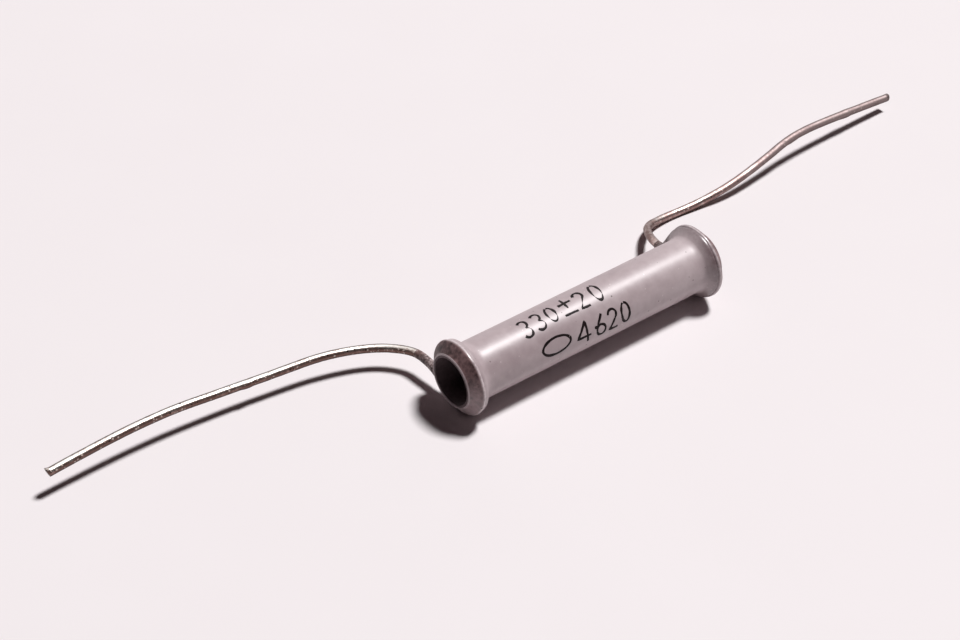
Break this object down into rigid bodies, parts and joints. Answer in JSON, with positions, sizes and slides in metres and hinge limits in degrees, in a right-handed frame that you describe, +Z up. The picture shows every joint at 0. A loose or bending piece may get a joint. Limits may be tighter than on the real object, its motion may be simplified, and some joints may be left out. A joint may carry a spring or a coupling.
{
  "type": "ceramic tube capacitor",
  "caption": "Open ceramic tube coated in grey enamel, flared over a wire winding at each end, with two long formed wire leads; it lies on its flared ends and one lead.",
  "frame": {"origin": "middle of the tube, on the axis of its open bore", "axes": "+X along the bore from the left end to the right end; +Z up from the surface it lies on; the leads spread to the +Y side"},
  "size_m": [0.0988, 0.017, 0.0072],
  "materials": {
    "ceramic": "fired dark brown ceramic, matte, bare only at the tube's end faces",
    "silver": "fired silver film, dull and slightly grainy",
    "solder": "soft solder, dull grey and slightly frosted",
    "tinned_wire": "tinned copper wire, hand-formed, bright on top with brownish tarnish, pits and solder specks",
    "marking_ink": "dark marking ink, thin, drawn figures, worn along the top",
    "enamel": "grey enamel with a faint mauve tint, satin gloss, fine specks and small blemishes"
  },
  "bodies": {
    "root": {"ceramic_tube": "ceramic", "inner_electrode": "silver", "outer_electrode": "silver", "lead_left": "tinned_wire", "lead_right": "tinned_wire", "solder_left": "solder", "solder_right": "solder", "enamel_coat": "enamel"}
  },
  "joints": []
}
